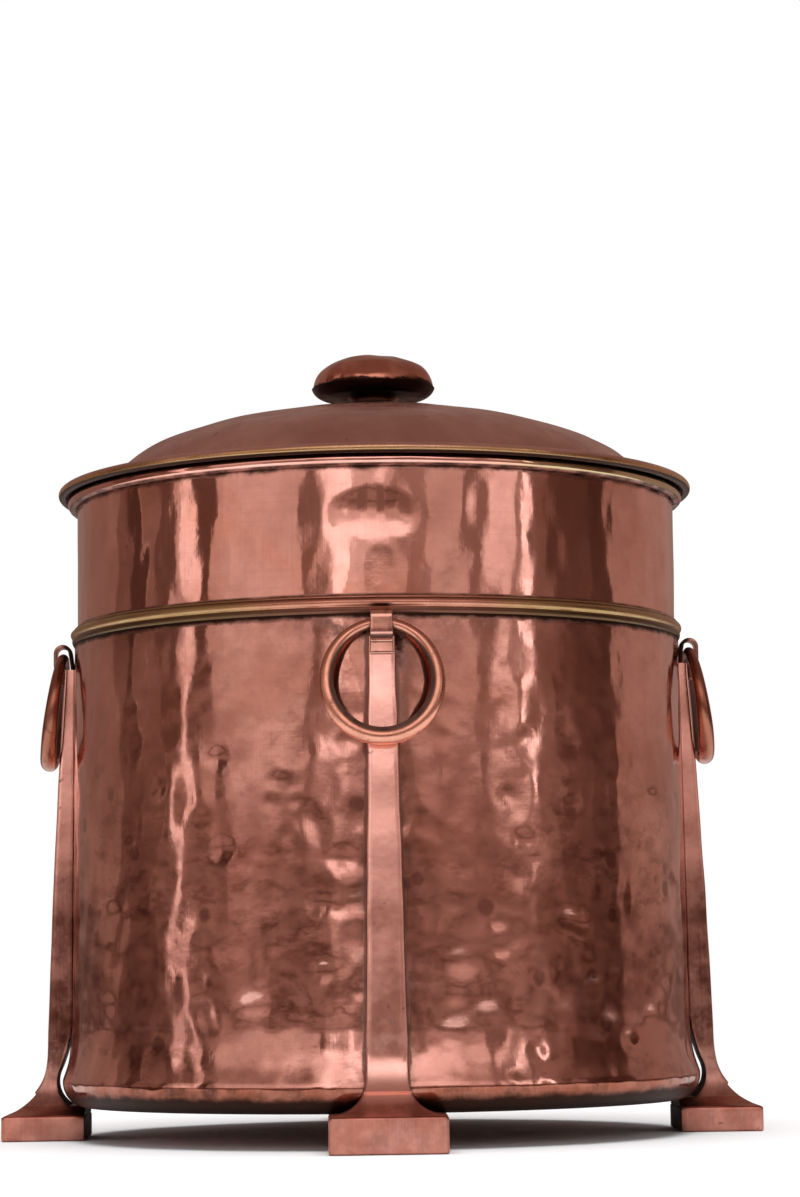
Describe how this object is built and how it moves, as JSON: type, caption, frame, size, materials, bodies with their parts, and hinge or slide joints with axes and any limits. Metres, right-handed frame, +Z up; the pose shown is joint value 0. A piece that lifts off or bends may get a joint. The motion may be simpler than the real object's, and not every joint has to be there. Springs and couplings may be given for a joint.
{
  "type": "fuel bin",
  "caption": "Round hammered-copper lidded log or coal bin with a beaded seam, strap legs on block feet, and hanging ring handles.",
  "frame": {"origin": "on the floor under the bin's axis, level with the undersides of the feet", "axes": "+Z up along the bin's axis; the four legs stand on the X and Y axes, and the front is -Y"},
  "size_m": [0.46, 0.46, 0.4828],
  "materials": {
    "shell_copper": "hammered and polished copper sheet with round planishing dents and fine level scratches",
    "neck_copper": "polished copper sheet, softly rippled, with fine level scratches",
    "lid_copper": "planished copper sheet toned to a softer brown",
    "bead_copper": "drawn copper moulding, worn bright, with a brassy tone",
    "rim_wire": "drawn wire inside the rolled edge",
    "leg_copper": "cast copper alloy, satin face with bright worn edges",
    "loop_copper": "bent strip, polished on the bend, dark in the corners",
    "ring_copper": "forged round wire, polished by handling",
    "knob_copper": "hammered copper, polished by handling",
    "knob_patina": "nearly black old patina",
    "fixing_copper": "dull copper rivets and washer"
  },
  "bodies": {
    "bin": {"body_shell": "shell_copper", "bottom_plate": "shell_copper", "neck_collar": "neck_copper", "neck_rim_wire": "rim_wire", "seam_bead": "bead_copper", "leg_front": "leg_copper", "leg_rivets_front": "fixing_copper", "ring_loop_front": "loop_copper", "leg_right": "leg_copper", "leg_rivets_right": "fixing_copper", "ring_loop_right": "loop_copper", "leg_back": "leg_copper", "leg_rivets_back": "fixing_copper", "ring_loop_back": "loop_copper", "leg_left": "leg_copper", "leg_rivets_left": "fixing_copper", "ring_loop_left": "loop_copper"},
    "lid": {"lid_dome": "lid_copper", "lid_rim_wire": "rim_wire", "lid_skirt": "lid_copper", "knob_stem": "knob_copper", "knob_pan": "knob_patina", "knob_cap": "knob_copper", "knob_washer": "fixing_copper", "knob_stud": "fixing_copper"},
    "ring_front": {"ring_handle_front": "ring_copper"},
    "ring_right": {"ring_handle_right": "ring_copper"},
    "ring_back": {"ring_handle_back": "ring_copper"},
    "ring_left": {"ring_handle_left": "ring_copper"}
  },
  "joints": [
    {"name": "lid_lift", "type": "slide", "parent": "bin", "child": "lid", "axis": [0, 0, 1], "range_m": [0, 0.15]},
    {"name": "ring_front_swing", "type": "hinge", "parent": "bin", "child": "ring_front", "pos_m": [0, -0.1941, 0.2937], "axis": [-1, 0, 0], "range_deg": [0, 150]},
    {"name": "ring_right_swing", "type": "hinge", "parent": "bin", "child": "ring_right", "pos_m": [0.1941, 0, 0.2937], "axis": [0, -1, 0], "range_deg": [0, 150]},
    {"name": "ring_back_swing", "type": "hinge", "parent": "bin", "child": "ring_back", "pos_m": [0, 0.1941, 0.2937], "axis": [1, 0, 0], "range_deg": [0, 150]},
    {"name": "ring_left_swing", "type": "hinge", "parent": "bin", "child": "ring_left", "pos_m": [-0.1941, 0, 0.2937], "axis": [0, 1, 0], "range_deg": [0, 150]}
  ]
}
